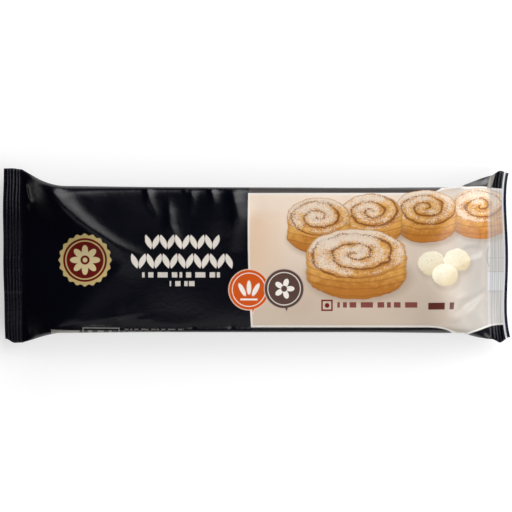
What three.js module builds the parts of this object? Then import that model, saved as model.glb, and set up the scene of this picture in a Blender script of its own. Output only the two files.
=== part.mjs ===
// A long pastry in a sealed flow-wrap film pack, lying face up.
// One closed solid: the filled pillow of film, its two flat crimped end seals and
// the folded fin seam along the underside. Millimetres, +X along the pack, +Z up,
// origin under the middle of the pack on the surface that it lies on.
import * as THREE from "three";

// ---- driving dimensions, mm ----
const LENGTH = 350; // cut edge to cut edge
const HEIGHT = 30; // table to the crown of the film
const SEAL = 12.8; // crimped seal, along the pack
const SEAL_Z = 12.5; // height of the end seals over the table
const SEAL_T = 0.9; // thickness of a seal with its crimp
const RIDGES = 6; // crimp ridges on each seal
const RIDGE = 0.2; // half height of a crimp ridge
const SIDE_Z = 12; // height of the widest line of the body
const SIDE_WALL = 4; // upright part of the side
const CROWN_SLACK = 1.0; // relief of the slack film, kept inside HEIGHT

// the outline from above: y of the far and the near edge at each end. The tube
// narrows from `inner`, just behind the seal, to `body` over `neck`; the seal itself
// spreads to `seal`; `trim` is how far its corner is drawn in at the cut, over `trimLength`
const OUTLINE = {
  left: {
    far: { inner: 59.8, seal: 60.5, body: 47.6, neck: 30, bow: 1.8, trim: 0.1, trimLength: 4 },
    near: { inner: -60.0, seal: -60.3, body: -52.4, neck: 27, bow: 1.35, trim: 2.9, trimLength: 7 },
  },
  right: {
    far: { inner: 55.4, seal: 58.8, body: 46.3, neck: 23, bow: 0.95, trim: 1.6, trimLength: 6 },
    near: { inner: -57.6, seal: -60.4, body: -52.6, neck: 18.5, bow: 0.7, trim: 4.2, trimLength: 8 },
  },
};

// the hips: the sloping end of the film reaches `middle` behind the seal along the
// centre line and `side` at the body's edges, climbing by `rise`; it meets the crown
// in a standing fold `ridge` high
const HIP = {
  left: { middle: 71, side: 20, rise: 1.15, ridge: 1.1 },
  right: { middle: 52, side: 18, rise: 1.3, ridge: 0.4 },
};
const ARCH = 0.12; // how far the crown falls away to its shoulders

// the fin: both edges of the film are joined under the pack and folded flat
const FIN_FAR = -1.6;
const FIN_NEAR = -25;
const FIN_T = 0.5;
const FIN_SLACK = 5; // beside the fold the film takes this much to reach the table

// ---- sampling ----
const TOP_SEGMENTS = 32;
const SIDE_COLUMNS = 9; // columns on each side of the fin, underneath
const HIP_STATIONS = 19;
const HIP_SPAN = 82;
const BODY_STATIONS = 11;

const { clamp, lerp, smoothstep } = THREE.MathUtils;
const half = LENGTH / 2;
const end = (x) => (x < 0 ? "left" : "right");

// distance behind the inner edge of the nearer seal
const behindSeal = (x) => half - SEAL - Math.abs(x);
const fromCut = (x) => half - Math.abs(x);

// y of one long edge of the pack
function edgeY(x, side) {
  const o = OUTLINE[end(x)][side];
  const body = lerp(OUTLINE.left[side].body, OUTLINE.right[side].body, clamp((x + half) / LENGTH, 0, 1));
  const d = behindSeal(x);
  const inner = o.inner + (o.seal - o.inner) * smoothstep(-d / SEAL, 0, 0.55);
  const t = 1 - clamp(d / o.neck, 0, 1);
  const flare = body + (inner - body) * Math.pow(t, o.bow);
  const trim = o.trim * (1 - smoothstep(fromCut(x), 0, o.trimLength));
  return flare - Math.sign(o.seal) * trim;
}
const halfWidth = (x) => (edgeY(x, "far") - edgeY(x, "near")) / 2;
const middleY = (x) => (edgeY(x, "far") + edgeY(x, "near")) / 2;

// roundness of the section: a lens near the seals; in the body the crown is flat with
// a tight shoulder and the underside has softer corners
const power = (x) => lerp(2.0, 10.0, smoothstep(behindSeal(x), 0, 40));
const powerBelow = (x) => lerp(2.4, 3.8, smoothstep(behindSeal(x), 0, 40));
const sideZ = (x) => lerp(SEAL_Z, SIDE_Z, smoothstep(behindSeal(x), 0, 30));
const wall = (x) => lerp(SEAL_T, SIDE_WALL, smoothstep(behindSeal(x), 2, 34));

// the crimp: triangular ridges that run across the seal
function crimp(x) {
  const d = behindSeal(x);
  if (d >= 0) return 0;
  const t = ((-d / SEAL) * RIDGES) % 1;
  return RIDGE * (t < 0.5 ? 4 * t - 1 : 3 - 4 * t);
}

// the seals aren't quite flat: a slow wave from corner to corner
function sealWave(x, s) {
  const near = 1 - smoothstep(behindSeal(x), 0, 34);
  const wave =
    x < 0
      ? 0.9 * Math.sin(2.6 * s + 0.6) - 0.4 * Math.cos(6.1 * s)
      : 1.2 * Math.sin(3.9 * s - 0.4) + 0.5 * Math.cos(7.3 * s + 1);
  return near * wave;
}

// the cut edges aren't quite straight either
function cutWave(x, s) {
  const near = 1 - smoothstep(fromCut(x), 0, SEAL + 16);
  const wave =
    x < 0 ? 0.17 - 0.55 * s + 0.78 * s * s + 0.12 * Math.sin(9 * s) : -0.9 - 0.5 * s - 5.2 * s * s + 6.1 * s ** 4;
  return near * wave;
}

// length of the sloping end at s, and how far up it a point has come
function hipLength(x, s) {
  const h = HIP[end(x)];
  return h.side + (h.middle - h.side) * Math.pow(clamp(1.14 - Math.sqrt(s * s + 0.02), 0, 1), 1.4);
}
function climb(x, s) {
  const t = clamp(behindSeal(x) / hipLength(x, s), 0, 1);
  return 1 - Math.pow(1 - t, HIP[end(x)].rise);
}

// slack film: the ridge along the hips and the slow lumps of the filling
function relief(x, s) {
  const d = behindSeal(x);
  if (d <= 0) return 0;
  const middle = smoothstep(1 - Math.abs(s), 0.03, 0.3);
  const h = HIP[end(x)];
  const ridge = h.ridge * smoothstep(s, -0.2, 0.5) * Math.exp(-(((d - hipLength(x, s)) / 4.5) ** 2));
  const lumps =
    0.45 * Math.sin(x / 19 + 1.3 * s) * Math.cos(2.4 * s + x / 41) + 0.12 * Math.sin(x / 9.5 - 3.1 * s + 0.7);
  return middle * (ridge + lumps * smoothstep(d, 30, 80)) - 0.2 * middle;
}

// one point of the upper film, s from -1 to 1 across the section
function topPoint(x, s) {
  const e = wall(x) / 2;
  const n = power(x);
  const rise = Math.pow(1 - Math.pow(Math.abs(s), n), 1 / n);
  const arch = 1 - ARCH * Math.abs(s) ** 3 * smoothstep(behindSeal(x), 20, 60);
  const crown = HEIGHT - CROWN_SLACK - SIDE_Z - e;
  const z = sideZ(x) + e + sealWave(x, s) + crimp(x) + crown * climb(x, s) * rise * arch + relief(x, s);
  return new THREE.Vector3(x + cutWave(x, s), middleY(x) + s * halfWidth(x), z);
}

// one point of the lower film: it lies flat under the body and rises to the seals
function bottomPoint(x, y, place) {
  const w = halfWidth(x);
  const s = clamp((y - middleY(x)) / w, -1, 1);
  const e = wall(x) / 2;
  const n = powerBelow(x);
  const drop = Math.pow(1 - Math.pow(Math.abs(s), n), 1 / n);
  const depth = (SIDE_Z - e + 1.4) * (1 - Math.exp(-Math.max(behindSeal(x), 0) / 15));
  const film = sideZ(x) - e + sealWave(x, s) + crimp(x) - depth * drop;
  const z = place === "fin" ? Math.max(film, FIN_T) - FIN_T : Math.max(film, place === "beside" ? FIN_T : 0);
  return new THREE.Vector3(x + cutWave(x, s), y, z);
}

// ---- stations along the pack ----
function stations() {
  const xs = [];
  for (let i = 0; i <= 2 * RIDGES; i++) xs.push(-half + (SEAL * i) / (2 * RIDGES));
  const inner = -half + SEAL;
  for (let i = 1; i <= HIP_STATIONS; i++) xs.push(inner + HIP_SPAN * Math.pow(i / HIP_STATIONS, 1.3));
  for (let i = 1; i < BODY_STATIONS; i++) xs.push(lerp(inner + HIP_SPAN, 0, i / BODY_STATIONS));
  return [...xs, 0, ...xs.map((x) => -x).reverse()];
}

// ---- one closed section, counter-clockwise seen from +X ----
function section(x) {
  const loop = [];
  const n = power(x);
  for (let i = 0; i <= TOP_SEGMENTS; i++) {
    const a = (Math.PI * i) / TOP_SEGMENTS;
    const s = Math.sign(Math.cos(a)) * Math.pow(Math.abs(Math.cos(a)), lerp(1, 2 / n, 0.8));
    loop.push(topPoint(x, i === 0 ? 1 : i === TOP_SEGMENTS ? -1 : s));
  }
  // underneath, from the near edge to the fin and on to the far edge
  const side = (from, to) => {
    const ys = [];
    for (let i = 0; i < SIDE_COLUMNS; i++) ys.push(lerp(from, to, Math.pow(i / (SIDE_COLUMNS - 1), 1.8)));
    return ys;
  };
  const near = side(edgeY(x, "near"), FIN_NEAR - FIN_SLACK);
  const far = side(edgeY(x, "far"), FIN_FAR + FIN_SLACK).reverse();
  for (const y of near) loop.push(bottomPoint(x, y));
  loop.push(bottomPoint(x, FIN_NEAR - 0.3, "beside"), bottomPoint(x, FIN_NEAR, "fin"));
  loop.push(bottomPoint(x, FIN_FAR, "fin"), bottomPoint(x, FIN_FAR + 0.3, "beside"));
  for (const y of far) loop.push(bottomPoint(x, y));
  return loop;
}

// ---- skin the sections and close the two cut ends ----
function loft(loops) {
  const n = loops[0].length;
  const positions = loops.flat().flatMap((p) => [p.x, p.y, p.z]);
  const index = [];
  for (let k = 0; k + 1 < loops.length; k++)
    for (let i = 0; i < n; i++) {
      const a = k * n + i;
      const b = k * n + ((i + 1) % n);
      index.push(a, b, a + n, b, b + n, a + n);
    }
  // a cut end is a thin strip: zip its upper edge to its lower edge
  const cap = (k, reversed) => {
    const y = (i) => loops[k][i].y;
    let a = 0;
    let b = n - 1;
    while (a < TOP_SEGMENTS || b > TOP_SEGMENTS + 1) {
      const upper = b === TOP_SEGMENTS + 1 || (a < TOP_SEGMENTS && y(a + 1) >= y(b - 1));
      const tri = upper ? [a, a + 1, b] : [a, b - 1, b];
      if (upper) a++;
      else b--;
      index.push(...(reversed ? tri.reverse() : tri).map((i) => k * n + i));
    }
  };
  cap(0, true);
  cap(loops.length - 1, false);
  const geometry = new THREE.BufferGeometry();
  geometry.setAttribute("position", new THREE.Float32BufferAttribute(positions, 3));
  geometry.setIndex(index);
  geometry.computeVertexNormals();
  // origin under the middle of the pack, on the table
  geometry.computeBoundingBox();
  const { min, max } = geometry.boundingBox;
  return geometry.translate(-(min.x + max.x) / 2, -(min.y + max.y) / 2, -min.z);
}

const film = new THREE.MeshStandardMaterial({ color: 0x14161d, roughness: 0.36, metalness: 0 });
const pack = new THREE.Mesh(loft(stations().map(section)), film);
pack.name = "pack";

const part = new THREE.Group();
part.name = "flow_wrap_pastry_pack";
part.add(pack);

export default part;
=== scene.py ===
"""A long pastry in a sealed flow-wrap film pack, lying face up.

The film is one mesh. It starts from the CAD's section functions, is relaxed as an
inextensible film (so that the slack behind the seals gathers into real folds), and
gets crimped seals, cut edges and a folded fin underneath. The print is procedural.
"""
import math

import bpy
import mathutils
import numpy as np
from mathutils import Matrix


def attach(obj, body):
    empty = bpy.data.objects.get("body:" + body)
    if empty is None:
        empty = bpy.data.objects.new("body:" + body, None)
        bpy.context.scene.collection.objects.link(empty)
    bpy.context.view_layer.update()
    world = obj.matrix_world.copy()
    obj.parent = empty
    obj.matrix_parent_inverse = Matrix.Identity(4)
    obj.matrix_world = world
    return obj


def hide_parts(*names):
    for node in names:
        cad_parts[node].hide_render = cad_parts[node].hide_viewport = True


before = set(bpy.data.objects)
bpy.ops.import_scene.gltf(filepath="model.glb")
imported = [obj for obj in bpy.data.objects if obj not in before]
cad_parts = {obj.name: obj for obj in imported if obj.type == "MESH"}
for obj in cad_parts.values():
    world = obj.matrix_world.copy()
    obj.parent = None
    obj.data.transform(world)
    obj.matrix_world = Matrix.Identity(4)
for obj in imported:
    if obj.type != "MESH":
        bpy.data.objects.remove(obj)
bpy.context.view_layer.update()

# ------------------------------------------------------------------ sizes, mm
LENGTH, HEIGHT = 350.0, 30.0
SEAL, SEAL_Z, FILM_T = 12.8, 12.5, 0.30
RIDGES, RIDGE = 6, {"L": 0.115, "R": 0.075}
SIDE_Z, SIDE_WALL, CROWN_SLACK = 12.0, 4.0, 1.0
GIRTH = 242.0
FLAT = 357.0  # length of the film when it is laid flat
HALF = LENGTH / 2
FIN_FAR, FIN_NEAR, FIN_T = -1.6, -25.0, 0.5
# outline: y inside the seal, seal y, body y, neck length, bow, corner trim, trim length
OUTLINE = {
    ("L", "far"): (59.8, 60.5, 47.6, 30.0, 1.80, 0.1, 4.0),
    ("L", "near"): (-60.0, -60.3, -52.4, 27.0, 1.35, 2.9, 7.0),
    ("R", "far"): (55.4, 58.8, 46.3, 23.0, 0.95, 1.6, 6.0),
    ("R", "near"): (-57.6, -60.4, -52.6, 18.5, 0.70, 4.2, 8.0),
}
# sloping ends: reach in the middle, reach at the sides
HIP = {"L": (71.0, 20.0), "R": (52.0, 18.0)}
ARCH = 0.12  # how far the crown falls away to its shoulders
MM = 0.001
# the printed face is laid out on a 0.69 mm raster with its origin at the top left
PITCH, PRINT_X0, PRINT_Y0 = 0.69, 256.25, 255.75
# folds of the upper film on that raster: points, width in mm of the left or upper flank
# and of the right or lower flank, heights in mm along it
CREASES = [
    ([(146, 186), (149, 201), (158, 220)], 1.6, 3.2, (0.8, 1.15, 0.5, 0.0)),
    ([(168, 196), (170, 226), (185, 262)], 2.6, 3.8, (0.0, 1.15, 0.95, 0.4, 0.0)),
    ([(184, 186), (187, 197)], 1.2, 1.8, (0.5, 0.45, 0.0)),
    ([(191, 188), (193, 216)], 2.2, 3.4, (0.2, 0.9, 0.6, 0.0)),
    ([(210, 186), (214, 206)], 1.4, 2.8, (0.7, 1.15, 0.5, 0.0)),
    ([(232, 187), (237, 216), (236, 252)], 5.0, 6.2, (0.7, 2.3, 2.0, 0.9, 0.0)),
    ([(212, 188), (217, 238)], 9.0, 9.0, (0.2, 0.9, 0.6, 0.0)),
    ([(71, 327), (100, 320), (131, 314), (150, 311)], 6.5, 3.8, (0.1, 0.3, 0.6, 1.1, 0.7, 0.0)),
    ([(131, 320), (156, 318)], 1.2, 1.4, (0.0, 0.3, 0.3, 0.0)),
    ([(196, 335), (190, 324)], 1.4, 1.4, (-0.6, 0.0)),
    ([(234, 335), (229, 322)], 1.4, 1.4, (-0.6, 0.0)),
    ([(492, 262), (478, 279)], 1.6, 1.6, (0.6, 0.3, 0.0)),
    ([(488, 244), (489, 272)], 1.2, 1.2, (0.4, 0.4, 0.2)),
    ([(497, 178), (470, 205), (452, 240)], 2.6, 3.0, (0.7, 0.4, 0.0)),
    ([(494, 335), (472, 312), (450, 300)], 3.0, 3.4, (0.7, 0.5, 0.0)),
    ([(489, 300), (470, 292)], 2.2, 2.2, (0.4, 0.2, 0.0)),
]


def smooth(x, a, b):
    t = np.clip((np.asarray(x, float) - a) / (b - a), 0, 1)
    return t * t * (3 - 2 * t)


def lerp(a, b, t):
    return a + (b - a) * t


# ------------------------------------------------------------------ the film's design shape
def end(x):
    return "L" if x < 0 else "R"


def behind(x):
    return HALF - SEAL - abs(x)


def edge_y(x, side):
    inner, seal, body, neck, bow, trim, trim_length = OUTLINE[(end(x), side)]
    body = lerp(OUTLINE[("L", side)][2], OUTLINE[("R", side)][2], min(max((x + HALF) / LENGTH, 0), 1))
    d = behind(x)
    if d < 0:
        inner += (seal - inner) * float(smooth(-d / SEAL, 0, 0.55))
    t = 1 - min(max(d / neck, 0), 1)
    flare = body + (inner - body) * t**bow
    return flare - math.copysign(trim * (1 - float(smooth(HALF - abs(x), 0, trim_length))), seal)


def seal_wave(x, s):
    near = 1 - smooth(behind(x), 0, 34)
    if x < 0:
        return near * (0.9 * np.sin(2.6 * s + 0.6) - 0.4 * np.cos(6.1 * s))
    return near * (1.2 * np.sin(3.9 * s - 0.4) + 0.5 * np.cos(7.3 * s + 1))


def cut_wave(x, s):
    near = 1 - smooth(HALF - abs(x), 0, SEAL + 16)
    if x < 0:
        return near * (0.17 - 0.55 * s + 0.78 * s**2 + 0.12 * np.sin(9 * s))
    return near * (-0.9 - 0.5 * s - 5.2 * s**2 + 6.1 * s**4)


def section(x, nt=420, nb=360):
    """The closed section at x as dense points (y, z): over the top from the far edge, then back underneath."""
    far, near = edge_y(x, "far"), edge_y(x, "near")
    w, c = (far - near) / 2, (far + near) / 2
    d = behind(x)
    p = float(lerp(2.0, lerp(17.0, 11.0, smooth(x, -20, 60)), smooth(d, 0, 40)))
    sz = float(lerp(SEAL_Z, SIDE_Z, smooth(d, 0, 30)))
    e = float(lerp(FILM_T, SIDE_WALL, smooth(d, 2, 34))) / 2
    middle, side = HIP[end(x)]

    def across(n, power):
        ca = np.cos(np.linspace(0, math.pi, n // 2))
        edges = np.sign(ca) * np.abs(ca) ** (2 / power)
        middle = np.cos(np.linspace(0, math.pi, n - n // 2 + 2))[1:-1]
        return np.sort(np.concatenate([edges, middle]))[::-1]

    s = across(nt, p)
    rise = (1 - np.clip(np.abs(s), 0, 1) ** p) ** (1 / p)
    hip = side + (middle - side) * np.clip(1.14 - np.sqrt(s * s + 0.02), 0, 1) ** 1.4
    climb = 1 - (1 - np.clip(max(d, 0) / hip, 0, 1)) ** (1.15 if x < 0 else 1.3)
    crown = HEIGHT - CROWN_SLACK - SIDE_Z - e
    arch = 1 - np.where(s > 0, 0.9, 1.0) * ARCH * np.abs(s) ** 3 * smooth(d, 20, 60)
    z = sz + e + seal_wave(x, s) + crown * climb * rise * arch
    if d > 0:
        mid = smooth(1 - np.abs(s), 0.03, 0.3)
        lumps = 0.45 * np.sin(x / 19 + 1.3 * s) * np.cos(2.4 * s + x / 41) + 0.12 * np.sin(x / 9.5 - 3.1 * s + 0.7)
        z = z + mid * (lumps * smooth(d, 30, 80) - 0.2)
    top = np.stack([c + s * w, z], 1)

    q = float(lerp(2.4, 3.8, smooth(d, 0, 40)))
    s = -across(nb, q)
    drop = (1 - np.clip(np.abs(s), 0, 1) ** q) ** (1 / q)
    depth = (SIDE_Z - e + 1.4) * (1 - math.exp(-max(d, 0) / 15))
    y = c + s * w
    fin = smooth(y, FIN_NEAR - 5, FIN_NEAR) * (1 - smooth(y, FIN_FAR, FIN_FAR + 5))
    z = np.maximum(sz - e + seal_wave(x, s) - depth * drop, FIN_T * fin)
    return np.concatenate([top, np.stack([y, z], 1)]), nt


def on_section(x, q):
    """Points of the section at film girths q, in mm of flat film counted from the middle of the crown."""
    loop, nt = section(x)
    closed = np.concatenate([loop, loop[:1]])
    arc = np.r_[0, np.cumsum(np.hypot(*np.diff(closed, axis=0).T))]
    middle = (loop[0, 0] + loop[nt - 1, 0]) / 2
    start = np.interp(-middle, -loop[:nt, 0], arc[:nt])
    at = (start + q * arc[-1] / GIRTH) % arc[-1]
    return np.interp(at, arc, closed[:, 0]), np.interp(at, arc, closed[:, 1])


def crease_height(x, y):
    """Height of the folds at upper film points (x, y), mm."""
    total = np.zeros_like(x)
    for points, before, after, heights in CREASES:
        pts = np.array([((a - PRINT_X0) * PITCH, (PRINT_Y0 - b) * PITCH) for a, b in points])
        lengths = np.hypot(*np.diff(pts, axis=0).T)
        best = np.full(x.shape, 1e9)
        t_best = np.zeros_like(x)
        flank = np.zeros_like(x)
        done = 0.0
        for k in range(len(pts) - 1):
            a, b = pts[k], pts[k + 1]
            t = np.clip(((x - a[0]) * (b[0] - a[0]) + (y - a[1]) * (b[1] - a[1])) / lengths[k] ** 2, 0, 1)
            r = np.hypot(x - a[0] - t * (b[0] - a[0]), y - a[1] - t * (b[1] - a[1]))
            turn = (b[0] - a[0]) * (y - a[1]) - (b[1] - a[1]) * (x - a[0])
            near = r < best
            best = np.where(near, r, best)
            t_best = np.where(near, (done + t * lengths[k]) / lengths.sum(), t_best)
            flank = np.where(near, turn, flank)
            done += lengths[k]
        # left of the line when it is followed upwards is its first flank
        up = 1.0 if pts[-1][1] >= pts[0][1] else -1.0
        half = np.where(up * flank > 0, before, after)
        height = np.interp(t_best, np.linspace(0, 1, len(heights)), heights)
        total += height * np.exp(-((best / half) ** 1.7))
    return total


def along_path(points, x, y):
    """Signed distance (mm) from a path on the print raster, and the place along it from 0 to 1."""
    pts = np.array([((a - PRINT_X0) * PITCH, (PRINT_Y0 - b) * PITCH) for a, b in points])
    lengths = np.hypot(*np.diff(pts, axis=0).T)
    best = np.full(x.shape, 1e9)
    place, side = np.zeros_like(x), np.zeros_like(x)
    for k in range(len(pts) - 1):
        a, b = pts[k], pts[k + 1]
        ux, uy = (b - a) / lengths[k]
        t = (x - a[0]) * ux + (y - a[1]) * uy
        off = ux * (y - a[1]) - uy * (x - a[0])
        lo = -1e9 if k == 0 else 0
        hi = 1e9 if k == len(pts) - 2 else lengths[k]
        tc = np.clip(t, lo, hi)
        r = np.hypot(off, t - tc)
        near = r < best
        best = np.where(near, r, best)
        side = np.where(near, np.sign(off), side)
        place = np.where(near, (lengths[:k].sum() + tc) / lengths.sum(), place)
    return side * best, place


# the standing fold where the sloping left end meets the crown. Its far flank is steepest at
# the crest and runs out softly: slope in degrees at distances in mm from the path
HIP_FOLD = [(52, 180), (57, 193), (64, 203), (78, 217), (98, 230), (118, 242), (142, 253)]
FLANK = [(-5, 0), (-4, 3), (-3, 9), (-2, 15), (-1, 19), (0, 20), (1, 19), (2, 17), (4, 13), (6, 8.5), (8, 4.5), (10, 1.5), (12, 0)]


def hip_fold(x, y):
    off, place = along_path(HIP_FOLD, x, y)
    at = np.linspace(-5, 12, 69)
    slope = np.tan(np.radians(np.interp(at, *zip(*FLANK))))
    rise = np.cumsum(slope[::-1])[::-1] * (at[1] - at[0])
    size = lerp(1.0, 0.62, smooth(place, 0.2, 0.7))  # it narrows along the path
    steep = np.interp(place, [-0.12, 0.0, 0.12, 0.25, 0.4, 0.6, 0.8, 1.0, 1.14], [0, 0.85, 1.4, 1.35, 1.1, 0.85, 0.62, 0.42, 0])
    back = smooth(off, -24, -4)
    return np.interp(off / size, at, rise, right=0) * size * steep * back


def design(xs, q):
    """Design positions for rows xs and girths q."""
    grid = np.zeros((len(xs), len(q), 3))
    for i, x in enumerate(xs):
        grid[i, :, 1], grid[i, :, 2] = on_section(x, q)
        far, near = edge_y(x, "far"), edge_y(x, "near")
        s = np.clip((grid[i, :, 1] - (far + near) / 2) / ((far - near) / 2), -1, 1)
        grid[i, :, 0] = x + cut_wave(x, s)
    return grid


# ------------------------------------------------------------------ the film relaxes
def normals(grid):
    along = np.gradient(grid, axis=0)
    round_ = np.roll(grid, -1, 1) - np.roll(grid, 1, 1)
    n = np.cross(round_, along)
    return n / (np.linalg.norm(n, axis=2, keepdims=True) + 1e-9)


def finer(grid, nu, nv):
    a, b = grid.shape[:2]
    f = np.linspace(0, a - 1, nu)
    i = np.minimum(f.astype(int), a - 2)
    t = (f - i)[:, None, None]
    rows = grid[i] * (1 - t) + grid[i + 1] * t
    f = np.arange(nv) * b / nv
    i = f.astype(int)
    t = (f - i)[None, :, None]
    return rows[:, i % b] * (1 - t) + rows[:, (i + 1) % b] * t


def pull(a, b, rest, stiffness):
    """Moves two sets of points to their rest distance."""
    d = b - a
    length = np.sqrt(np.einsum("ijk,ijk->ij", d, d)) + 1e-9
    c = (0.5 * stiffness * (1 - rest / length))[..., None] * d
    return a + c, b - c


def relax(P, T, ru, rv, low, high, hold, iterations, bend, press):
    nu, nv = P.shape[:2]
    N = normals(T).astype(np.float32)
    r = 0.5 * (ru + np.roll(ru, -1, 1))
    c = 0.5 * (rv[:-1] + rv[1:])
    diagonal = np.sqrt(r * r + c * c)
    first, last = P[0].copy(), P[-1].copy()
    for _ in range(iterations):
        P += press * N
        for s in (0, 1):
            P[s : nu - 1 : 2], P[s + 1 : nu : 2] = pull(P[s : nu - 1 : 2], P[s + 1 : nu : 2], ru[s::2], 1.0)
        P[:, 0::2], P[:, 1::2] = pull(P[:, 0::2], P[:, 1::2], rv[:, 0::2], 1.0)
        P = np.roll(P, -1, 1)
        P[:, 0::2], P[:, 1::2] = pull(P[:, 0::2], P[:, 1::2], rv[:, 1::2], 1.0)
        P = np.roll(P, 1, 1)
        for s in (0, 1):
            a, b = P[s : nu - 1 : 2], P[s + 1 : nu : 2]
            a, b = pull(a, np.roll(b, -1, 1), diagonal[s::2], 0.35)
            b = np.roll(b, 1, 1)
            a, b = pull(np.roll(a, -1, 1), b, diagonal[s::2], 0.35)
            P[s : nu - 1 : 2], P[s + 1 : nu : 2] = np.roll(a, 1, 1), b
        m = 0.25 * (np.roll(P, 1, 1) + np.roll(P, -1, 1))
        m[1:-1] += 0.25 * (P[:-2] + P[2:])
        D = m[1:-1] - P[1:-1]
        D2 = D.copy()
        D2[1:-1] -= 0.25 * (D[:-2] + D[2:] + np.roll(D, 1, 1)[1:-1] + np.roll(D, -1, 1)[1:-1])
        P[1:-1] += bend * D2
        D = P - T
        out = np.einsum("ijk,ijk->ij", D, N)
        kept = np.clip(out, low, high)
        P += ((kept - out) - hold * kept)[..., None] * N
        P -= 0.02 * (D - out[..., None] * N)
        P[..., 2] = np.maximum(P[..., 2], 0.0)
        P[0], P[-1] = first, last
    return P


def film(levels=((73, 60, 220), (145, 118, 180), (289, 236, 150))):
    P = coarse = None
    rng = np.random.default_rng(7)
    for nu, nv, iterations in levels:
        xs = np.linspace(-(HALF - SEAL), HALF - SEAL, nu)
        q = (np.arange(nv) / nv - 0.5) * GIRTH
        T = design(xs, q)
        du = np.linalg.norm(np.diff(T, axis=0), axis=2)
        d = HALF - SEAL - np.abs(0.5 * (xs[1:] + xs[:-1]))
        w = 1 - smooth(d, 25, 60)
        extra = np.clip(FLAT - 2 * SEAL - du.sum(0), -2, np.where(np.abs(np.abs(q) - 60) < 22, 1.2, 2.2))
        ru = du + extra[None, :] * w[:, None] / w.sum()
        dv = np.linalg.norm(np.roll(T, -1, 1) - T, axis=2)
        G = dv.sum(1, keepdims=True)
        rv = dv * np.maximum(lerp(G, GIRTH, 0.6), 0.997 * G) / G
        d = (HALF - SEAL - np.abs(xs))[:, None]
        ends = (1 - smooth(d, 30, 95)) * smooth(d, 0, 8)
        sides = np.exp(-(((np.abs(q)[None, :] - 60) / 14) ** 2))
        above = np.exp(-((q[None, :] / 52) ** 8)) * (xs[:, None] < 0)
        room = 0.22 + (1.5 - 0.9 * above) * ends * (1 - 0.75 * sides)
        hold = 0.02 * (1 - ends) * (1 - 0.7 * sides) + 0.0008
        N = normals(T)
        if P is None:
            P = T + N * rng.normal(0, 0.35, (nu, nv, 1)) * ends[..., None]
        else:
            P = T + finer(P - coarse, nu, nv) + N * rng.normal(0, 0.05, (nu, nv, 1)) * ends[..., None]
        f = lambda a: np.asarray(a, np.float32)
        P = relax(f(P), f(T), f(ru), f(rv), f(-0.9 * room), f(1.1 * room), f(hold), iterations, 0.30, 0.004)
        coarse = T
    return xs, q, T, P


# ------------------------------------------------------------------ mesh
def crimp(x, s):
    """Height of the crimp on a seal: round ridges parallel to the cut, fading out at the corners."""
    d = -behind(x)
    phase = (d / SEAL) * RIDGES + 0.10 * np.sin(5 * s + x) + 0.05 * np.sin(17 * s)
    inside = smooth(d, 0, 1.2) * smooth(HALF - abs(x), 0.2, 1.2)
    return RIDGE[end(x)] * np.cos(2 * math.pi * phase) * inside


def seal_rows(side, q, count=27):
    d = np.linspace(0, SEAL, count)[1:]
    xs = (HALF - SEAL + d) * (1 if side == "R" else -1)
    rows = design(xs, q)
    for i, x in enumerate(xs):
        far, near = edge_y(x, "far"), edge_y(x, "near")
        s = (rows[i, :, 1] - (far + near) / 2) / ((far - near) / 2)
        y = rows[i, :, 1]
        upper = smooth(rows[i, :, 2] - seal_wave(x, s) - SEAL_Z, -0.1, 0.1)
        rows[i, :, 2] += crimp(x, s)
        over_fin = smooth(y, FIN_NEAR - 0.8, FIN_NEAR + 0.4) * (1 - smooth(y, FIN_FAR - 0.4, FIN_FAR + 0.8))
        fold = np.exp(-(((y + 11.2) / 0.5) ** 2))
        rows[i, :, 2] += (0.16 * over_fin + 0.10 * fold) * upper
    return xs, rows


def add_surface(points, along, uv_u, uv_v, faces, uvs, start, closed=False):
    """Quads over a grid of points; along tells which way is out."""
    nu, nv = points.shape[:2]
    for i in range(nu - 1):
        for j in range(nv if closed else nv - 1):
            k = (j + 1) % nv
            f = (start + i * nv + j, start + (i + 1) * nv + j, start + (i + 1) * nv + k, start + i * nv + k)
            t = ((uv_u[i], uv_v[j]), (uv_u[i + 1], uv_v[j]), (uv_u[i + 1], uv_v[j + 1]), (uv_u[i], uv_v[j + 1]))
            faces.append(f if along else f[::-1])
            uvs.append(t if along else t[::-1])


def fold(q, T, P):
    """The single folds, laid over the relaxed film."""
    upper = np.abs(q) < 62
    x, y = T[:, upper, 0], T[:, upper, 1]
    z = (crease_height(x, y) + hip_fold(x, y)) * smooth(HALF - np.abs(x), SEAL + 1, SEAL + 6)
    P[:, upper, 2] += z * smooth(62 - np.abs(q[upper]), 0, 6)


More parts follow.
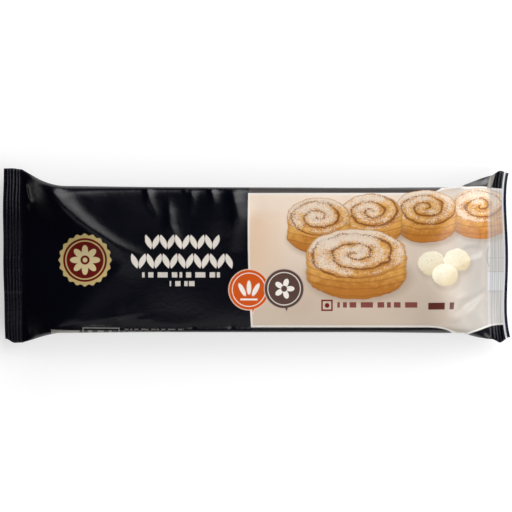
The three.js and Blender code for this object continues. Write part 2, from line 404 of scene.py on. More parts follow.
def build():
    xs, q, T, P = film()
    fold(q, T, P)
    xl, left = seal_rows("L", q)
    xr, right = seal_rows("R", q)
    all_x = np.r_[xl[::-1], xs, xr]
    grid = np.concatenate([left[::-1], P, right])
    flat = np.concatenate([left[::-1], T, right])
    nu, nv = grid.shape[:2]

    faces, uvs = [], []
    span = all_x[-1] - all_x[0]
    U = 0.005 + 0.99 * (all_x - all_x[0]) / span
    V = 0.005 + 0.89 * np.arange(nv + 1) / nv
    add_surface(grid, False, U, V, faces, uvs, 0, closed=True)
    # the cut ends: the two layers meet
    for i, flip in ((0, False), (nu - 1, True)):
        for j in range(nv // 4, 3 * nv // 4):
            f = [i * nv + j, i * nv + j + 1, i * nv + (3 * nv // 2 - j - 1) % nv, i * nv + (3 * nv // 2 - j) % nv]
            f = [n for k, n in enumerate(f) if n not in f[:k]]
            if len(f) < 3:
                continue
            faces.append(tuple(f[::-1] if not flip else f))
            uvs.append(tuple((U[i], V[j]) for _ in f))
    points = [grid.reshape(-1, 3)]
    place = np.zeros((nu * nv, 3), np.float32)
    F = flat.reshape(-1, 3)
    place[:, 0] = PRINT_X0 + F[:, 0] / PITCH
    place[:, 1] = PRINT_Y0 - F[:, 1] / PITCH
    place[:, 2] = np.tile(np.abs(q), nu)
    places = [place]
    cuts = [np.repeat(HALF - np.abs(all_x), nv)]

    # the fin: a strip folded flat under the pack, crimped along its middle
    fy = np.r_[np.linspace(FIN_FAR, FIN_NEAR, 25)]
    under = np.abs(q) > 75
    order = np.argsort(grid[nu // 2, under, 1])
    cols = np.where(under)[0][order]
    base = np.zeros((nu, len(fy), 3))
    for i in range(nu):
        yy = grid[i, cols, 1]
        o = np.argsort(yy)
        base[i, :, 1] = fy
        base[i, :, 0] = np.interp(fy, yy[o], grid[i, cols, 0][o])
        base[i, :, 2] = np.interp(fy, yy[o], grid[i, cols, 2][o])
    band = smooth(fy, FIN_NEAR + 1.5, FIN_NEAR + 3) * (1 - smooth(fy, FIN_NEAR + 12, FIN_NEAR + 13.5))
    ridges = 0.07 * np.cos(2 * math.pi * fy / 1.9) * band
    upper, lower = base.copy(), base.copy()
    upper[..., 2] = base[..., 2] - 0.06
    lower[..., 2] = np.maximum(base[..., 2] - 0.38 + ridges[None, :], 0.02)
    start = nu * nv
    n = len(fy)
    V2 = 0.905 + 0.085 * np.arange(n) / (n - 1)
    add_surface(lower, True, U, V2, faces, uvs, start)
    add_surface(upper, False, U, V2, faces, uvs, start + nu * n)
    for i in range(nu - 1):
        for j, flip in ((0, False), (n - 1, True)):
            a, b = start + i * n + j, start + (i + 1) * n + j
            c, e = b + nu * n, a + nu * n
            faces.append((a, b, c, e) if flip else (e, c, b, a))
            uvs.append(((U[i], V2[j]),) * 4)
    for i, flip in ((0, True), (nu - 1, False)):
        for j in range(n - 1):
            a, b = start + i * n + j, start + i * n + j + 1
            c, e = b + nu * n, a + nu * n
            faces.append((a, b, c, e) if flip else (e, c, b, a))
            uvs.append(((U[i], V2[j]),) * 4)
    for part in (lower, upper):
        F = part.reshape(-1, 3)
        place = np.zeros((nu * n, 3), np.float32)
        place[:, 0] = PRINT_X0 + F[:, 0] / PITCH
        place[:, 1] = PRINT_Y0 - F[:, 1] / PITCH
        place[:, 2] = 200.0
        points.append(F)
        places.append(place)
        cuts.append(np.full(nu * n, 50.0))

    mesh = bpy.data.meshes.new("film")
    mesh.from_pydata([tuple(v) for v in np.concatenate(points) * MM], [], faces)
    uv = mesh.uv_layers.new(name="OFBake")
    uv.data.foreach_set("uv", np.array([c for f in uvs for c in f], float).ravel())
    layer = mesh.attributes.new("print", "FLOAT_VECTOR", "POINT")
    layer.data.foreach_set("vector", np.concatenate(places).ravel())
    layer = mesh.attributes.new("cut", "FLOAT", "POINT")
    layer.data.foreach_set("value", np.concatenate(cuts).astype(np.float32))
    mesh.polygons.foreach_set("use_smooth", [True] * len(mesh.polygons))
    mesh.update()
    pack = bpy.data.objects.new("film_pack", mesh)
    bpy.context.scene.collection.objects.link(pack)
    return pack


# ------------------------------------------------------------------ print, drawn with nodes
class Sheet:
    """Draws shapes on the print raster with math nodes. Values are floats or node sockets."""

    def __init__(self, tree):
        self.tree = tree
        self.count = 0
        at = self.node("ShaderNodeAttribute")
        at.attribute_name = "print"
        split = self.node("ShaderNodeSeparateXYZ")
        self.tree.links.new(at.outputs["Vector"], split.inputs[0])
        self.vector = at.outputs["Vector"]
        self.x, self.y, self.q = split.outputs
        at = self.node("ShaderNodeAttribute")
        at.attribute_name = "cut"
        self.cut = at.outputs["Fac"]

    def node(self, kind):
        n = self.tree.nodes.new(kind)
        n.location = ((self.count % 40) * 60, -(self.count // 40) * 60)
        n.hide = True
        self.count += 1
        return n

    def put(self, value, socket):
        if isinstance(value, (int, float)):
            socket.default_value = value
        elif isinstance(value, (tuple, list)):
            socket.default_value = tuple(value) + ((1,) if len(value) == 3 and len(socket.default_value) == 4 else ())
        else:
            self.tree.links.new(value, socket)

    def op(self, operation, a, b=0.0, c=0.0, clamp=False):
        n = self.node("ShaderNodeMath")
        n.operation = operation
        n.use_clamp = clamp
        self.put(a, n.inputs[0])
        self.put(b, n.inputs[1])
        self.put(c, n.inputs[2])
        return n.outputs[0]

    def add(self, a, b):
        return self.op("ADD", a, b)

    def sub(self, a, b):
        return self.op("SUBTRACT", a, b)

    def mul(self, a, b):
        return self.op("MULTIPLY", a, b)

    def mad(self, a, b, c):
        return self.op("MULTIPLY_ADD", a, b, c)

    def step(self, v, a, b, hard=False):
        """0 below a to 1 above b, or falling where a is over b."""
        n = self.node("ShaderNodeMapRange")
        n.interpolation_type = "LINEAR" if hard else "SMOOTHSTEP"
        flip = a > b
        self.put(v, n.inputs[0])
        n.inputs[1].default_value = min(a, b)
        n.inputs[2].default_value = max(a, b)
        n.inputs[3].default_value = 1.0 if flip else 0.0
        n.inputs[4].default_value = 0.0 if flip else 1.0
        return n.outputs[0]

    def both(self, *masks):
        m = masks[0]
        for k in masks[1:]:
            m = self.mul(m, k)
        return m

    def either(self, a, b):
        return self.op("MAXIMUM", a, b)

    def less(self, a, b):
        """a without b"""
        return self.mul(a, self.op("SUBTRACT", 1.0, b))

    def mix(self, below, over, mask, blend="MIX"):
        n = self.node("ShaderNodeMix")
        n.data_type = "RGBA"
        n.blend_type = blend
        n.clamp_factor = True
        self.put(mask, n.inputs[0])
        self.put(below, n.inputs[6])
        self.put(over, n.inputs[7])
        return n.outputs[2]

    def noise(self, scale, detail=2.0, rough=0.5, vector=None, seed=0.0, distortion=0.0):
        n = self.node("ShaderNodeTexNoise")
        n.noise_dimensions = "3D"
        m = self.node("ShaderNodeVectorMath")
        m.operation = "ADD"
        self.tree.links.new(vector or self.vector, m.inputs[0])
        m.inputs[1].default_value = (seed * 17.3, seed * 9.1, seed * 5.7)
        self.tree.links.new(m.outputs[0], n.inputs["Vector"])
        n.inputs["Scale"].default_value = scale
        n.inputs["Detail"].default_value = detail
        n.inputs["Roughness"].default_value = rough
        n.inputs["Distortion"].default_value = distortion
        return n.outputs[0]

    # ---- masks
    def local(self, cx, cy, turn=0.0, x=None, y=None):
        """coordinates round (cx, cy), turned by some degrees"""
        dx, dy = self.sub(x or self.x, cx), self.sub(y or self.y, cy)
        if not turn:
            return dx, dy
        c, s = math.cos(math.radians(turn)), math.sin(math.radians(turn))
        return self.mad(dx, c, self.mul(dy, s)), self.mad(dy, c, self.mul(dx, -s))

    def radius(self, dx, dy, rx, ry):
        u, v = self.mul(dx, 1 / rx), self.mul(dy, 1 / ry)
        return self.op("SQRT", self.mad(u, u, self.mul(v, v)))

    def disc(self, cx, cy, r, soft=0.5):
        dx, dy = self.local(cx, cy)
        return self.step(self.radius(dx, dy, 1, 1), r + soft, r - soft)

    def ellipse(self, cx, cy, rx, ry, turn=0.0, soft=0.05):
        dx, dy = self.local(cx, cy, turn)
        return self.step(self.radius(dx, dy, rx, ry), 1 + soft, 1 - soft)

    def ring(self, cx, cy, r, width, soft=0.5):
        dx, dy = self.local(cx, cy)
        off = self.op("ABSOLUTE", self.sub(self.radius(dx, dy, 1, 1), r))
        return self.step(off, width / 2 + soft, width / 2 - soft)

    def box(self, x0, y0, x1, y1, soft=0.4, slant=0.0, turn=0.0, around=None):
        cx, cy = (x0 + x1) / 2, (y0 + y1) / 2
        dx, dy = self.local(cx, cy, turn)
        if slant:
            dx = self.mad(dy, slant, dx)
        a = self.step(self.op("ABSOLUTE", dx), (x1 - x0) / 2 + soft, (x1 - x0) / 2 - soft)
        b = self.step(self.op("ABSOLUTE", dy), (y1 - y0) / 2 + soft, (y1 - y0) / 2 - soft)
        return self.mul(a, b)

    def grains(self, x0, x1, y, pitch, length, width, lean):
        """a row of leaf shapes that lean in turn to either side"""
        t = self.mul(self.sub(self.x, x0), 1 / pitch)
        cell = self.op("FLOOR", t)
        dx = self.mul(self.sub(self.sub(t, cell), 0.5), pitch)
        dy = self.sub(self.y, y)
        side = self.mad(self.op("MODULO", cell, 2.0), 2.0, -1.0)
        k = math.tan(math.radians(lean))
        dx = self.mad(self.mul(dy, k), side, dx)
        v = self.mul(dy, 2 / length)
        taper = self.op("SUBTRACT", 1.0, self.mul(v, v), clamp=True)
        edge = self.sub(self.op("ABSOLUTE", dx), self.mul(taper, width / 2))
        shape = self.step(edge, 0.45, -0.45)
        inside = self.box(x0 + 0.4, y - length / 2, x1, y + length / 2, soft=0.3)
        return self.mul(shape, inside)

    def across(self, x0, x1, q0, q1, soft=0.3):
        """a field from x0 to x1 and, in mm of film from the middle of the crown, from q0 to q1"""
        a = self.step(self.op("ABSOLUTE", self.sub(self.x, (x0 + x1) / 2)), (x1 - x0) / 2 + soft, (x1 - x0) / 2 - soft)
        b = self.step(self.op("ABSOLUTE", self.sub(self.q, (q0 + q1) / 2)), (q1 - q0) / 2 + soft, (q1 - q0) / 2 - soft)
        return self.mul(a, b)

    def bars(self, k=1.0, fill=0.35, seed=0.0):
        a = self.op("SINE", self.mad(self.x, 0.62 * k, seed))
        b = self.op("SINE", self.mad(self.x, 0.37 * k, 1.7 * seed + 1.0))
        return self.step(self.add(a, b), -fill - 0.14, -fill + 0.14)

    def dashes(self, x0, x1, y0, y1, k=1.0, fill=0.35, seed=0.0):
        """a line of short bars of uneven lengths"""
        return self.mul(self.bars(k, fill, seed), self.box(x0, y0, x1, y1, soft=0.35))


def srgb(r, g, b):
    def lin(c):
        c /= 255
        return c / 12.92 if c <= 0.04045 else ((c + 0.055) / 1.055) ** 2.4

    return (lin(r), lin(g), lin(b))


NAVY = (0.0009, 0.0010, 0.0042)
CREAM = srgb(246, 227, 208)
WHITE = srgb(240, 234, 228)
LETTER = srgb(232, 224, 214)
GOLD, BROWN, CRUST = srgb(214, 158, 86), srgb(164, 98, 36), srgb(190, 128, 56)
DUST = srgb(240, 226, 210)
CURD = srgb(228, 200, 158)
RED = srgb(120, 28, 26)
ORANGE, CHESTNUT = srgb(214, 88, 26), srgb(92, 68, 60)


def bun(s, base, cx, cy, rx, ry, deep, seed=1.0, wind=2.3, start=0.0):
    """A golden swirl bun with dusting sugar, seen from a little above, over base."""
    dx, dy = s.local(cx, cy)
    wobble = s.mul(s.sub(s.noise(0.08, 2.0, seed=seed), 0.5), 0.16)
    r = s.add(s.radius(dx, dy, rx, ry), wobble)
    wall_y = s.sub(dy, s.op("MINIMUM", s.op("MAXIMUM", dy, 0.0), deep))
    outer = s.add(s.radius(dx, wall_y, rx, ry), wobble)
    base = s.mix(base, srgb(146, 112, 88), s.mul(s.ellipse(cx + 2.0, cy + deep + 3.0, rx * 1.07, ry * 1.04, 0, soft=0.16), 0.42))
    lean = s.mad(dy, 1 / ry, s.mul(dx, 0.45 / rx))  # -1 on the lit side to 1
    bake = s.noise(0.16, 3.0, 0.6, seed=seed + 2)

    # the wall: rolled layers, darker towards the foot
    layer = s.op("FRACT", s.mul(s.mad(s.mul(dx, dx), 0.35 * ry / rx**2, s.mad(wobble, 22.0, dy)), 1 / 7.0))
    wall = s.mix(srgb(224, 166, 86), srgb(186, 118, 46), s.step(s.mad(bake, 0.8, s.mul(s.sub(dy, ry * 0.6), 0.5 / deep)), 0.35, 0.95))
    wall = s.mix(wall, srgb(148, 86, 34), s.mul(s.step(s.op("ABSOLUTE", s.sub(layer, 0.5)), 0.34, 0.5), 0.5))
    wall = s.mix(wall, srgb(138, 80, 32), s.mul(s.step(outer, 0.90, 1.03), 0.5))
    wall = s.mix(wall, DUST, s.mul(s.step(s.add(s.noise(0.75, 2.0, 0.7, seed=seed + 11), s.mul(lean, -0.1)), 0.56, 0.72), 0.45))

    # the top: a rolled strip of dough
    angle = s.mul(s.op("ARCTAN2", s.mul(dy, 1 / ry), s.mul(dx, 1 / rx)), 1 / (2 * math.pi))
    turns = s.add(s.mad(r, wind, angle), s.mad(wobble, 0.8, start))
    strip = s.mul(s.op("ABSOLUTE", s.sub(s.op("FRACT", turns), 0.5)), 2.0)  # 0 on its ridge, 1 in the groove
    top = s.mix(srgb(228, 172, 94), srgb(190, 124, 52), s.step(bake, 0.4, 0.72))
    top = s.mix(top, srgb(176, 108, 42), s.mul(s.step(s.add(lean, strip), 0.7, 1.8), 0.75))
    top = s.mix(top, srgb(122, 68, 26), s.mul(s.step(strip, 0.70, 0.97), 0.85))
    patch = s.noise(0.055, 1.0, seed=seed + 7)
    grain = s.noise(0.75, 2.0, 0.7, seed=seed + 5)
    cover = s.add(s.mul(s.sub(1.0, strip), 0.20), s.mad(lean, -0.13, s.mul(s.sub(patch, 0.5), 0.55)))
    dust = s.step(s.add(grain, cover), 0.50, 0.74)
    top = s.mix(top, DUST, s.mul(dust, 0.86))
    top = s.mix(top, srgb(150, 92, 44), s.mul(s.step(r, 0.92, 1.0), 0.22))
    c = s.mix(base, wall, s.step(outer, 1.02, 0.98))
    return s.mix(c, top, s.step(r, 1.0, 0.955))


def curd(s, base, cx, cy, r0):
    """A pale ball of fresh curd over base."""
    dx, dy = s.local(cx, cy)
    r = s.add(s.radius(dx, dy, r0, r0 * 0.88), s.mul(s.sub(s.noise(0.16, 2.0, seed=cx), 0.5), 0.2))
    base = s.mix(base, srgb(160, 142, 122), s.mul(s.ellipse(cx + 1.5, cy + 3.4, r0 * 1.08, r0 * 0.98, 0, soft=0.2), 0.42))
    lean = s.mad(dy, 0.8 / r0, s.mul(dx, 0.5 / r0))
    tone = s.mix(srgb(244, 235, 212), srgb(208, 190, 150), s.step(lean, -0.7, 1.0))
    crumb = s.noise(0.5, 3.0, 0.7, seed=cy)
    tone = s.mix(tone, srgb(190, 168, 118), s.mul(s.step(crumb, 0.52, 0.72), 0.55))
    return s.mix(base, tone, s.step(r, 1.02, 0.94))


def draw_print(s):
    c = NAVY
    # a pale tab and lines of small print over the edge near the reader
    near_side = s.step(s.y, 320, 324)
    small = srgb(150, 147, 140)
    c = s.mix(c, small, s.both(s.across(52, 80, 49.2, 60.0), near_side, 0.9))
    c = s.mix(c, NAVY, s.both(s.across(58, 75, 52.6, 54.4), near_side))
    c = s.mix(c, NAVY, s.both(s.across(58, 70, 56.2, 57.4), near_side))
    c = s.mix(c, small, s.both(s.less(s.across(83, 120, 46.6, 55.4), s.across(84.2, 118.8, 47.5, 54.5)), near_side, 0.7))
    c = s.mix(c, small, s.both(s.across(88, 115, 49.0, 52.6), s.bars(1.1, 0.2, 2.0), near_side, 0.7))
    for q0, x1 in ((47.4, 184), (49.3, 171), (52.0, 181), (54.8, 176), (57.6, 152)):
        line = s.both(s.across(123, x1, q0, q0 + 1.0), s.bars(1.9, 0.45, q0), near_side)
        c = s.mix(c, srgb(128, 124, 118), s.mul(line, 0.8))

    # round badge at the left: scalloped disc, ring and rosette
    dx, dy = s.local(85.5, 260)
    r = s.radius(dx, dy, 1, 1)
    angle = s.op("ARCTAN2", dy, dx)
    scallop = s.mad(s.op("COSINE", s.mul(angle, 20.0)), -0.9, r)
    c = s.mix(c, srgb(205, 182, 124), s.step(scallop, 26.2, 25.2))
    c = s.mix(c, srgb(104, 24, 20), s.step(r, 22.4, 21.6))
    c = s.mix(c, srgb(205, 182, 124), s.step(s.op("ABSOLUTE", s.sub(r, 19.2)), 0.95, 0.35))
    petal = s.mad(s.op("ABSOLUTE", s.op("COSINE", s.mul(angle, 4.0))), -7.0, r)
    c = s.mix(c, srgb(222, 204, 156), s.step(petal, 8.4, 7.6))
    c = s.mix(c, srgb(104, 24, 20), s.step(r, 5.0, 4.2))
    c = s.mix(c, srgb(222, 204, 156), s.step(r, 2.8, 2.0))

    # rows of grain shapes
    c = s.mix(c, LETTER, s.grains(145, 220.0, 242.0, 7.5, 14.5, 6.0, 20))
    c = s.mix(c, LETTER, s.grains(131, 233.0, 261.0, 7.85, 15.0, 6.3, 20))
    c = s.mix(c, LETTER, s.mul(s.dashes(142, 223, 272.2, 277.4, 1.35, 0.3, 0.4), 0.85))
    c = s.mix(c, LETTER, s.mul(s.dashes(170, 195, 281.0, 286.0, 1.35, 0.3, 3.4), 0.85))

    # light panel
    bow = s.mul(s.sub(s.y, 245.0), 1 / 52)
    left = s.mad(s.mul(bow, bow), 0.9, s.mad(bow, 0.62, 247.9))
    hump = s.mul(s.sub(s.x, 462.0), 1 / 17)
    hump = s.op("POWER", 2.718, s.mul(s.mul(hump, hump), -1.0))
    bottom = s.mad(hump, 7.4, s.mad(s.step(s.x, 478, 502), -2.2, 327.0))
    top = s.mad(s.step(s.x, 427, 447), -6.2, s.mad(s.step(s.x, 486, 500), 1.4, 193.3))
    inset_l = s.sub(s.x, left)
    inset_t = s.sub(s.y, top)
    inset_b = s.sub(bottom, s.y)
    inset = s.op("MINIMUM", inset_l, s.op("MINIMUM", inset_t, inset_b))
    # over the far edge it ends on the side; over the near edge only a bulge reaches the side
    near_top = s.add(s.mul(s.step(s.mad(s.step(s.x, 428, 482), -7.0, s.q), 51.6, 50.8), s.step(s.y, 300, 290)), s.mul(s.step(s.sub(s.q, s.mul(hump, 6.5)), 52.4, 51.6), s.step(s.y, 290, 300)))
    over = s.step(s.q, 74, 70)
    # painted sheen: the navy between the panel and the far shoulder is lightened to a grey, and a little between the
    # panel and the near shoulder
    c = s.mix(c, srgb(66, 61, 60), s.both(s.step(inset_l, 0, 1.5), s.step(s.y, 200, 194), s.step(s.x, 470, 440), s.step(s.q, 57, 51)))
    c = s.mix(c, srgb(26, 25, 26), s.both(s.step(inset_l, 0, 1.5), s.step(s.y, 320, 326), s.step(s.x, 480, 450), s.step(s.q, 57, 51)))
    panel = s.mul(s.step(inset, -0.4, 0.4), near_top)
    # darker towards the near edge and greyer towards the right end: partly the print's own gradient, partly painted
    # shade
    tone = s.mix(CREAM, srgb(212, 193, 174), s.step(s.y, 200, 318))
    tone = s.mix(tone, srgb(236, 206, 178), s.both(s.step(s.x, 300, 252), s.step(s.y, 300, 255), s.step(s.y, 203, 225)))
    tone = s.mix(tone, srgb(196, 183, 169), s.mul(s.step(s.x, 370, 460), 0.7))
    tone = s.mix(tone, srgb(189, 183, 176), s.step(s.x, 440, 478))
    cloth = s.noise(0.02, 2.0, seed=3)
    tone = s.mix(tone, srgb(204, 178, 156), s.mul(s.step(cloth, 0.45, 0.75), 0.3))
    # the seal shows the layers under it
    sealed = s.step(s.x, 486.5, 490.0)
    tone = s.mix(tone, srgb(204, 201, 198), sealed)
    seam = s.both(s.step(s.y, 271.0, 272.2), s.step(s.y, 291.6, 290.4), sealed)
    tone = s.mix(tone, srgb(220, 221, 227), seam)
    for y in (257.8, 271.6, 291.0):
        tone = s.mix(tone, srgb(150, 150, 154), s.both(s.step(s.op("ABSOLUTE", s.sub(s.y, y)), 0.9, 0.2), sealed, 0.55))
    hatch = s.op("SINE", s.mad(s.x, 2.9, s.mul(s.y, 0.02)))
    tone = s.mix(tone, srgb(168, 166, 166), s.both(s.step(hatch, 0.2, 1.0), sealed, 0.4))
    tone = s.mix(tone, WHITE, s.mul(s.step(inset, 2.2, 1.6), 0.9))
    c = s.mix(c, tone, panel)

    # pastry: a row of swirl buns at the back, a large one in front
    art = c
    art = bun(s, art, 480, 206, 30, 17, 16, 11.0, start=0.3)
    art = bun(s, art, 425, 208, 30, 18, 17, 14.0, start=0.7)
    art = bun(s, art, 371, 212, 30, 18, 17, 17.0)
    art = bun(s, art, 318, 217, 31, 19, 18, 20.0, start=0.5)
    art = bun(s, art, 356, 254, 50, 25, 20, 23.0, wind=2.6, start=0.2)
    # fresh curd at the right
    art = curd(s, art, 431, 263, 14)
    art = curd(s, art, 456, 260, 13.5)
    art = curd(s, art, 444, 275, 13)
    art = s.mix(art, srgb(206, 203, 200), s.mul(sealed, 0.4))
    art = s.mix(art, srgb(168, 166, 166), s.both(s.step(hatch, 0.2, 1.0), sealed, 0.25))
    c = s.mix(c, art, s.both(s.step(s.cut, 2.6, 2.9), near_top, s.either(panel, s.sub(1.0, s.step(s.x, 486, 488)))))

    # round badges
    for cx, cy, r0, tip, colour, soft_ring in (
        (249.0, 289.6, 19.8, (255.0, 311.6), ORANGE, srgb(244, 205, 180)),
        (284.0, 288.6, 19.4, (288.4, 311.0), CHESTNUT, srgb(206, 186, 172)),
    ):
        dx, dy = s.local(cx, cy)
        r = s.radius(dx, dy, 1, 1)
        # tail: a narrow wedge under the disc
        tx, ty = tip
        down = s.sub(s.y, cy + 14)
        half = s.mul(s.sub(ty, s.y), 0.42)
        wedge = s.sub(s.op("ABSOLUTE", s.sub(s.x, tx - 2.0)), half)
        tail = s.both(s.step(wedge, 0.5, -0.5), s.step(down, -0.5, 0.5))
        outline = s.either(s.step(r, r0 + 1.3, r0 + 0.3), s.both(s.step(wedge, 1.6, 0.6), s.step(down, -0.5, 0.5)))
        c = s.mix(c, soft_ring, outline)
        c = s.mix(c, colour, s.either(s.step(r, r0 + 0.3, r0 - 0.5), tail))
        c = s.mix(c, srgb(248, 240, 232), s.mul(s.step(s.op("ABSOLUTE", s.sub(r, r0 - 3.2)), 0.75, 0.2), 0.85))
    pale = srgb(250, 244, 236)
    # a sheaf of three on the first, drops round a dot on the second
    for cx, cy, turn in ((249, 287.5, 0), (242.2, 289.5, -28), (255.8, 289.5, 28)):
        c = s.mix(c, pale, s.ellipse(cx, cy, 2.3, 7.0, turn, soft=0.16))
    c = s.mix(c, pale, s.box(240.5, 298.4, 257.5, 300.2))
    dx, dy = s.local(284.0, 288.6)
    r = s.radius(dx, dy, 1, 1)
    flower = s.mad(s.op("ABSOLUTE", s.op("COSINE", s.mul(s.op("ARCTAN2", dy, dx), 2.5))), -7.5, r)
    c = s.mix(c, pale, s.less(s.step(flower, 3.2, 2.4), s.step(r, 3.4, 2.6)))

    # small marks along the bottom of the panel
    c = s.mix(c, RED, s.less(s.box(321, 299.5, 332.5, 310.8), s.box(322.6, 301.1, 330.9, 309.2)))
    c = s.mix(c, RED, s.disc(326.8, 305.2, 2.4))
    c = s.mix(c, RED, s.mul(s.dashes(337, 419, 302.0, 307.4, 1.15, 0.5, 1.0), 0.9))
    c = s.mix(c, srgb(92, 40, 34), s.dashes(425, 453, 302.6, 309.4, 0.9, 0.7, 0.2))

    # a painted highlight: a paler patch on the far corner behind the right seal
    c = s.mix(c, srgb(112, 108, 108), s.both(s.ellipse(477.0, 184.6, 12.0, 2.4, -16, soft=0.5), s.sub(1.0, panel), 0.75))

    # painted shade: a short broken dark line along a crease in front of the seal
    bend = s.mul(s.sub(s.y, 256.0), 1 / 11)
    line = s.step(s.op("ABSOLUTE", s.sub(s.x, s.mad(s.mul(bend, bend), 2.4, 487.2))), 0.75, 0.15)
    broken = s.step(s.op("SINE", s.mul(s.y, 2.3)), -0.7, 0.3)
    c = s.mix(c, srgb(96, 90, 86), s.both(line, s.step(s.op("ABSOLUTE", s.sub(s.y, 256.6)), 11.0, 9.0), s.mad(broken, 0.4, 0.2)))

    # the right end: a sliver of the lighter print, and a white line and a dark edge along the cut
    c = s.mix(c, srgb(150, 144, 138), s.both(s.box(489.0, 174.0, 493.6, 188.4, soft=0.6, slant=0.3), over))
    right = s.mul(s.step(s.x, 380, 390), over)
    c = s.mix(c, srgb(222, 222, 226), s.both(s.step(s.op("ABSOLUTE", s.sub(s.cut, 2.5)), 0.75, 0.45), right))
    c = s.mix(c, srgb(16, 20, 40), s.both(s.step(s.cut, 2.1, 1.85), right))

    # underside: a pale block of plain lines
    below = s.step(s.q, 70, 74)
    block = s.both(s.box(150, 262, 360, 318, soft=0.4), below, s.step(s.q, 160, 150))
    c = s.mix(c, srgb(214, 206, 196), block)
    row = s.op("FRACT", s.mul(s.sub(s.y, 266), 1 / 5.2))
    lines = s.both(s.step(s.op("ABSOLUTE", s.sub(row, 0.5)), 0.22, 0.14), s.dashes(156, 354, 266, 314, 0.8, 0.6, 0.7), below)
    c = s.mix(c, srgb(60, 52, 50), s.both(lines, block))
    return c


def film_material():
    m = bpy.data.materials.new("printed_film")
    m.use_nodes = True
    tree = m.node_tree
    b = tree.nodes["Principled BSDF"]
    s = Sheet(tree)
    colour = draw_print(s)
    tree.links.new(colour, b.inputs["Base Color"])
    b.inputs["IOR"].default_value = 1.5
    b.inputs["Specular IOR Level"].default_value = 0.5
    # gloss varies a little where the film has been rubbed
    rub = s.noise(0.05, 3.0, 0.6, seed=31)
    rough = s.mad(rub, 0.08, 0.17)
    tree.links.new(rough, b.inputs["Roughness"])
    # the film's own fine unevenness
    fine = s.noise(0.22, 2.0, 0.5, seed=37)
    bump = s.node("ShaderNodeBump")
    bump.inputs["Strength"].default_value = 0.4
    bump.inputs["Distance"].default_value = 0.0002
    tree.links.new(fine, bump.inputs["Height"])
    tree.links.new(bump.outputs[0], b.inputs["Normal"])
    print("print nodes", s.count)
    return m


def floor_material():
    m = bpy.data.materials.new("white_floor")
    m.use_nodes = True
    tree = m.node_tree
    b = tree.nodes["Principled BSDF"]
    b.inputs["Roughness"].default_value = 0.9
    b.inputs["Emission Color"].default_value = (1, 1, 1, 1)
    b.inputs["Emission Strength"].default_value = 0.55
    n = tree.nodes.new("ShaderNodeTexNoise")
    n.inputs["Scale"].default_value = 6.0
    r = tree.nodes.new("ShaderNodeMapRange")
    r.inputs[3].default_value = 0.54
    r.inputs[4].default_value = 0.57
    c = tree.nodes.new("ShaderNodeCombineColor")
    tree.links.new(n.outputs[0], r.inputs[0])
    for k in range(3):
        tree.links.new(r.outputs[0], c.inputs[k])
    tree.links.new(c.outputs[0], b.inputs["Base Color"])
    return m


# ------------------------------------------------------------------ stage
def area(name, direction, distance, size, radiance, colour=(1, 1, 1), spread=180):
    """A soft box of that radiance (a lit white floor is 1) in a direction from the pack, in
    metres. A box with a narrow spread is brightest in its middle and fades to its edge."""
    if spread < 180:
        half = math.radians(spread / 2)
        radiance *= (math.tan(half) - half) / math.tan(half)
    light = bpy.data.lights.new(name, "AREA")
    light.shape = "RECTANGLE"
    light.size, light.size_y = size
    light.spread = math.radians(spread)
    light.energy = radiance * math.pi * size[0] * size[1]
    light.color = colour
    o = bpy.data.objects.new(name, light)
    d = mathutils.Vector(direction).normalized()
    o.location = d * distance
    o.rotation_euler = (-d).to_track_quat("-Z", "Y").to_euler()
    o.visible_camera = False
    bpy.context.scene.collection.objects.link(o)
    return o


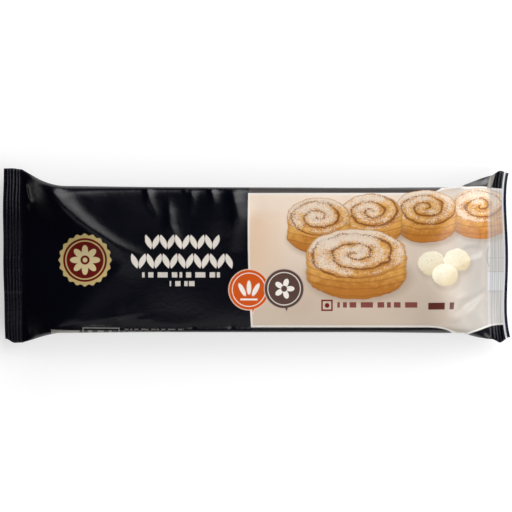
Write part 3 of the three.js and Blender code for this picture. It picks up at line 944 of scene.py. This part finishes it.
def room(tree):
    """The room: pale walls low down on three sides, dark overhead and at the left; a plain pale backdrop."""
    def node(kind, **values):
        n = tree.nodes.new(kind)
        for k, v in values.items():
            setattr(n, k, v)
        return n

    def ramp(value, a, b, low, high):
        n = node("ShaderNodeMapRange", interpolation_type="SMOOTHSTEP")
        tree.links.new(value, n.inputs[0])
        for i, v in enumerate((a, b, low, high)):
            n.inputs[i + 1].default_value = v
        return n.outputs[0]

    def times(a, b):
        n = node("ShaderNodeMath", operation="MULTIPLY")
        tree.links.new(a, n.inputs[0])
        tree.links.new(b, n.inputs[1])
        return n.outputs[0]

    where = node("ShaderNodeTexCoord")
    split = node("ShaderNodeSeparateXYZ")
    tree.links.new(where.outputs["Generated"], split.inputs[0])
    low = ramp(split.outputs["Z"], 0.40, 0.68, 1.0, 0.0)
    right = ramp(split.outputs["X"], -0.15, 0.15, 0.0, 1.0)
    glow = node("ShaderNodeMath", operation="MULTIPLY_ADD")
    tree.links.new(times(low, right), glow.inputs[0])
    glow.inputs[1].default_value = 0.09
    glow.inputs[2].default_value = 0.02
    path = node("ShaderNodeLightPath")
    seen = node("ShaderNodeMix")
    tree.links.new(path.outputs["Is Camera Ray"], seen.inputs[0])
    tree.links.new(glow.outputs[0], seen.inputs[2])
    seen.inputs[3].default_value = 0.93
    back = tree.nodes["Background"]
    back.inputs[0].default_value = (1, 1, 1, 1)
    tree.links.new(seen.outputs[0], back.inputs[1])


def towards(compass, zenith):
    """Unit direction: compass in degrees from +X towards +Y, zenith from straight up."""
    c, z = math.radians(compass), math.radians(zenith)
    return (math.cos(c) * math.sin(z), math.sin(c) * math.sin(z), math.cos(z))


def stage():
    mesh = bpy.data.meshes.new("floor")
    s = 4.0
    mesh.from_pydata([(-s, -s, 0), (s, -s, 0), (s, s, 0), (-s, s, 0)], [], [(0, 1, 2, 3)])
    floor = bpy.data.objects.new("floor", mesh)
    floor.data.materials.append(floor_material())
    bpy.context.scene.collection.objects.link(floor)

    world = bpy.data.worlds.new("studio")
    world.use_nodes = True
    room(world.node_tree)
    bpy.context.scene.world = world
    bpy.context.scene.view_settings.view_transform = "Standard"

    area("key", towards(42, 42), 2.0, (2.6, 2.6), 3.8, spread=64)
    area("accent", towards(74, 42), 1.9, (1.1, 1.1), 2.4, spread=32)
    area("fill_far", towards(50, 66), 2.0, (2.2, 1.0), 3.2)
    area("fill_near", towards(-42, 46), 2.0, (2.2, 1.4), 2.4)
    area("reader", towards(-90, 17), 2.2, (1.9, 0.75), 0.38)

    cam = bpy.data.cameras.new("camera")
    cam.sensor_width = 36
    distance = 3.2
    plane = 0.018
    cam.lens = 36 * (distance - plane) / (512 * PITCH * MM)
    cam.clip_end = 20
    o = bpy.data.objects.new("camera", cam)
    # the middle of the 512 x 512 frame, in pack coordinates
    o.location = ((256 - PRINT_X0) * PITCH * MM, (PRINT_Y0 - 256) * PITCH * MM, distance)
    bpy.context.scene.collection.objects.link(o)
    bpy.context.scene.camera = o


stage()
pack = build()
pack.data.materials.append(film_material())
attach(pack, "root")
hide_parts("pack")
